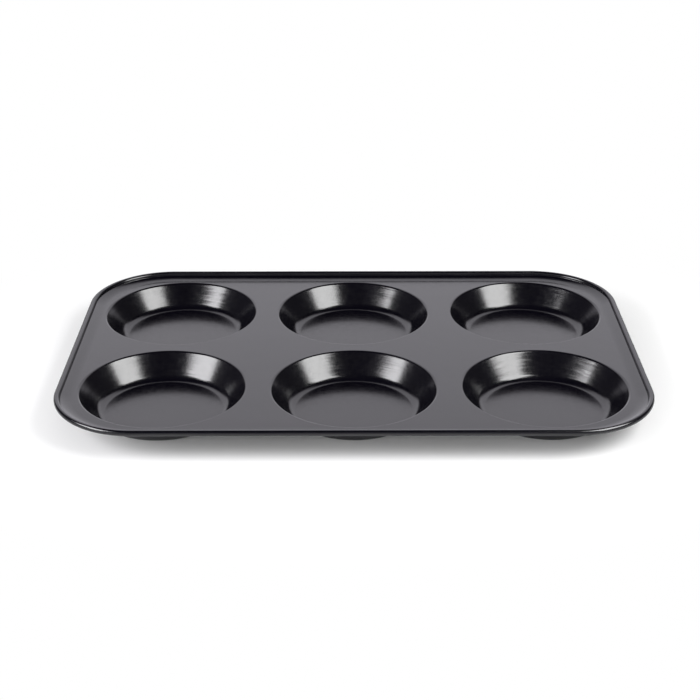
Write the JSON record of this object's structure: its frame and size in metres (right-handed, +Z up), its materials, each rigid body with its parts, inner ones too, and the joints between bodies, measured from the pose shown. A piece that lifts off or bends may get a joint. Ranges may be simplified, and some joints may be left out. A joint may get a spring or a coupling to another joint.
{
  "type": "popover pan",
  "caption": "Shallow popover pan: a flat deck of dark coated steel with round flat-bottomed cups, rounded corners and a rim rolled outwards round a stiffening wire.",
  "frame": {"origin": "middle of the pan's length and width, on the plane that the cup bottoms stand on", "axes": "+X along the length, +Y from the front row of cups to the back row, +Z up out of the cups"},
  "size_m": [0.3178, 0.2106, 0.0178],
  "materials": {
    "coated_steel": "dark grey-black satin non-stick coating over steel sheet, with fine rings drawn round the cup walls",
    "rim_wire": "plain drawn steel wire, hidden inside the rolled rim"
  },
  "bodies": {
    "root": {"deck_sheet": "coated_steel", "cup_front_left": "coated_steel", "cup_front_middle": "coated_steel", "cup_front_right": "coated_steel", "cup_back_left": "coated_steel", "cup_back_middle": "coated_steel", "cup_back_right": "coated_steel", "rolled_rim": "coated_steel", "rim_wire": "rim_wire"}
  },
  "joints": []
}
